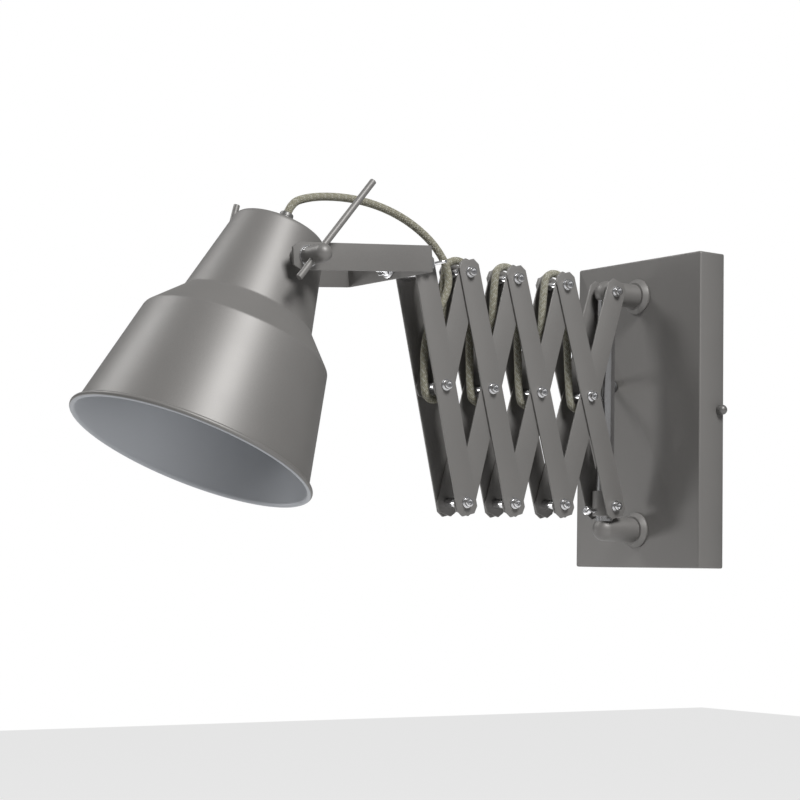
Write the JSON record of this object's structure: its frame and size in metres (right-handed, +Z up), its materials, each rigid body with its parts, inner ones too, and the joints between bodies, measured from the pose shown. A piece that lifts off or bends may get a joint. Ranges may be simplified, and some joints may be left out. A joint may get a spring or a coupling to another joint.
{
  "type": "accordion wall lamp",
  "caption": "Wall lamp with a metal backplate box, an accordion scissor arm, a yoke and a tilting spun shade, with a braided cable woven through the arm",
  "frame": {"origin": "middle of the back of the wall box, on the wall plane, between the bracket's two slots", "axes": "+Z up, +Y into the wall, the lamp stands out towards -Y"},
  "size_m": [0.1856, 0.5451, 0.2787],
  "materials": {
    "painted": "satin",
    "painted_dark": "satin",
    "chrome": "polished",
    "steel": "satin",
    "brass": "satin",
    "rubber": "matte",
    "black_plastic": "matte",
    "white_plastic": "matte",
    "cable": "woven braid"
  },
  "bodies": {
    "wall": {"wall_box": "painted", "wall_bracket": "steel", "side_screws": "painted_dark", "terminal_block": "white_plastic", "cable_grommet": "rubber", "upper_post": "painted", "lower_post": "painted", "post_flanges": "painted", "post_bolts": "steel", "slide_tube": "chrome", "post_pivot_screws": "chrome", "scissor_cable": "cable"},
    "slider": {"slider_collar": "painted", "collar_pivot_screws": "chrome"},
    "lock": {"lock_screw": "chrome"},
    "inner_link_4": {"inner_bar_4_near": "painted", "inner_bar_4_far": "painted", "pivot_spacers_4": "chrome", "pivot_screws_4": "chrome"},
    "outer_link_4": {"outer_bar_4_near": "painted", "outer_bar_4_far": "painted"},
    "inner_link_3": {"inner_bar_3_near": "painted", "inner_bar_3_far": "painted", "pivot_spacers_3": "chrome", "pivot_screws_3": "chrome"},
    "outer_link_3": {"outer_bar_3_near": "painted", "outer_bar_3_far": "painted"},
    "inner_link_2": {"inner_bar_2_near": "painted", "inner_bar_2_far": "painted", "pivot_spacers_2": "chrome", "pivot_screws_2": "chrome"},
    "outer_link_2": {"outer_bar_2_near": "painted", "outer_bar_2_far": "painted"},
    "inner_link_1": {"inner_bar_1_near": "painted", "inner_bar_1_far": "painted", "pivot_spacers_1": "chrome", "pivot_screws_1": "chrome"},
    "outer_link_1": {"outer_bar_1_near": "painted", "outer_bar_1_far": "painted"},
    "head": {"head_block": "chrome", "pivot_stud": "chrome", "head_washers": "chrome", "yoke_bolt": "chrome", "yoke_nut": "chrome"},
    "wing_nut_near": {"wing_nut_near": "chrome"},
    "wing_nut_far": {"wing_nut_far": "chrome"},
    "yoke": {"yoke": "painted"},
    "shade": {"shade": "painted", "shade_studs": "chrome", "stud_bushes": "painted", "clamp_washers": "chrome", "cable_gland": "painted_dark", "lampholder": "black_plastic", "holder_contacts": "brass", "holder_nipple": "steel", "cable_arc": "cable"},
    "handle_near": {"handle_hub_near": "painted"},
    "handle_far": {"handle_hub_far": "painted"},
    "rod_near": {"handle_rod_near": "painted"},
    "rod_far": {"handle_rod_far": "painted"}
  },
  "joints": [
    {"name": "scissor_extend", "type": "hinge", "parent": "wall", "child": "inner_link_4", "pos_m": [0, -0.0622, 0.099], "axis": [-1, 0, 0], "range_deg": [0, 37.7], "deforming": ["scissor_cable"]},
    {"name": "outer_link_4_turn", "type": "hinge", "parent": "inner_link_4", "child": "outer_link_4", "pos_m": [0, -0.09009, 0.00944], "axis": [-1, 0, 0], "range_deg": [-75.42, 0]},
    {"name": "slider_turn", "type": "hinge", "parent": "outer_link_4", "child": "slider", "pos_m": [0, -0.0622, -0.08011], "axis": [-1, 0, 0], "range_deg": [0, 37.72]},
    {"name": "outer_link_3_turn", "type": "hinge", "parent": "inner_link_4", "child": "outer_link_3", "pos_m": [0, -0.1181, -0.08066], "axis": [-1, 0, 0], "range_deg": [-76.59, 0]},
    {"name": "inner_link_3_turn", "type": "hinge", "parent": "outer_link_3", "child": "inner_link_3", "pos_m": [0, -0.14405, 0.00889], "axis": [-1, 0, 0], "range_deg": [0, 77.75]},
    {"name": "inner_link_2_turn", "type": "hinge", "parent": "outer_link_3", "child": "inner_link_2", "pos_m": [0, -0.17012, 0.099], "axis": [-1, 0, 0], "range_deg": [0, 78.92]},
    {"name": "outer_link_2_turn", "type": "hinge", "parent": "inner_link_2", "child": "outer_link_2", "pos_m": [0, -0.19434, 0.00838], "axis": [-1, 0, 0], "range_deg": [-80.09, 0]},
    {"name": "outer_link_1_turn", "type": "hinge", "parent": "inner_link_2", "child": "outer_link_1", "pos_m": [0, -0.21866, -0.08271], "axis": [-1, 0, 0], "range_deg": [-81.25, 0]},
    {"name": "inner_link_1_turn", "type": "hinge", "parent": "outer_link_1", "child": "inner_link_1", "pos_m": [0, -0.24094, 0.00791], "axis": [-1, 0, 0], "range_deg": [0, 82.42]},
    {"name": "lock_screw_turn", "type": "hinge", "parent": "slider", "child": "lock", "pos_m": [0, -0.0772, -0.08411], "axis": [0, -1, 0], "range_deg": [0, 360]},
    {"name": "head_tilt", "type": "hinge", "parent": "outer_link_1", "child": "head", "pos_m": [0, -0.26332, 0.099], "axis": [1, 0, 0], "range_deg": [-60, 15], "deforming": ["cable_arc"]},
    {"name": "wing_nut_near_turn", "type": "hinge", "parent": "head", "child": "wing_nut_near", "pos_m": [0.02, -0.26332, 0.099], "axis": [1, 0, 0], "range_deg": [-120, 120]},
    {"name": "wing_nut_far_turn", "type": "hinge", "parent": "head", "child": "wing_nut_far", "pos_m": [-0.02, -0.26332, 0.099], "axis": [-1, 0, 0], "range_deg": [-120, 120]},
    {"name": "yoke_swivel", "type": "hinge", "parent": "head", "child": "yoke", "pos_m": [0, -0.28781, 0.09677], "axis": [0, -0.9959, -0.0906], "range_deg": [-45, 45], "deforming": ["cable_arc"]},
    {"name": "shade_tilt", "type": "hinge", "parent": "yoke", "child": "shade", "pos_m": [0, -0.39965, 0.08659], "axis": [1, 0, 0], "range_deg": [-65, 20], "deforming": ["cable_arc"]},
    {"name": "handle_near_turn", "type": "hinge", "parent": "shade", "child": "handle_near", "pos_m": [0.067, -0.39965, 0.08659], "axis": [1, 0, 0], "range_deg": [-110, 110]},
    {"name": "handle_far_turn", "type": "hinge", "parent": "shade", "child": "handle_far", "pos_m": [-0.067, -0.39965, 0.08659], "axis": [-1, 0, 0], "range_deg": [-110, 110]},
    {"name": "rod_near_slide", "type": "slide", "parent": "handle_near", "child": "rod_near", "axis": [0, 0.6293, 0.7771], "range_m": [-0.029, 0.016]},
    {"name": "rod_far_slide", "type": "slide", "parent": "handle_far", "child": "rod_far", "axis": [0, 0.2419, 0.9703], "range_m": [-0.015, 0.0345]}
  ],
  "couplings": [
    {"joint": "outer_link_4_turn", "follows": "scissor_extend", "ratio": -2},
    {"joint": "slider_turn", "follows": "scissor_extend", "ratio": 1},
    {"joint": "outer_link_3_turn", "follows": "scissor_extend", "ratio": -2.0309},
    {"joint": "inner_link_3_turn", "follows": "scissor_extend", "ratio": 2.0619},
    {"joint": "inner_link_2_turn", "follows": "scissor_extend", "ratio": 2.0928},
    {"joint": "outer_link_2_turn", "follows": "scissor_extend", "ratio": -2.1238},
    {"joint": "outer_link_1_turn", "follows": "scissor_extend", "ratio": -2.1547},
    {"joint": "inner_link_1_turn", "follows": "scissor_extend", "ratio": 2.1857}
  ]
}
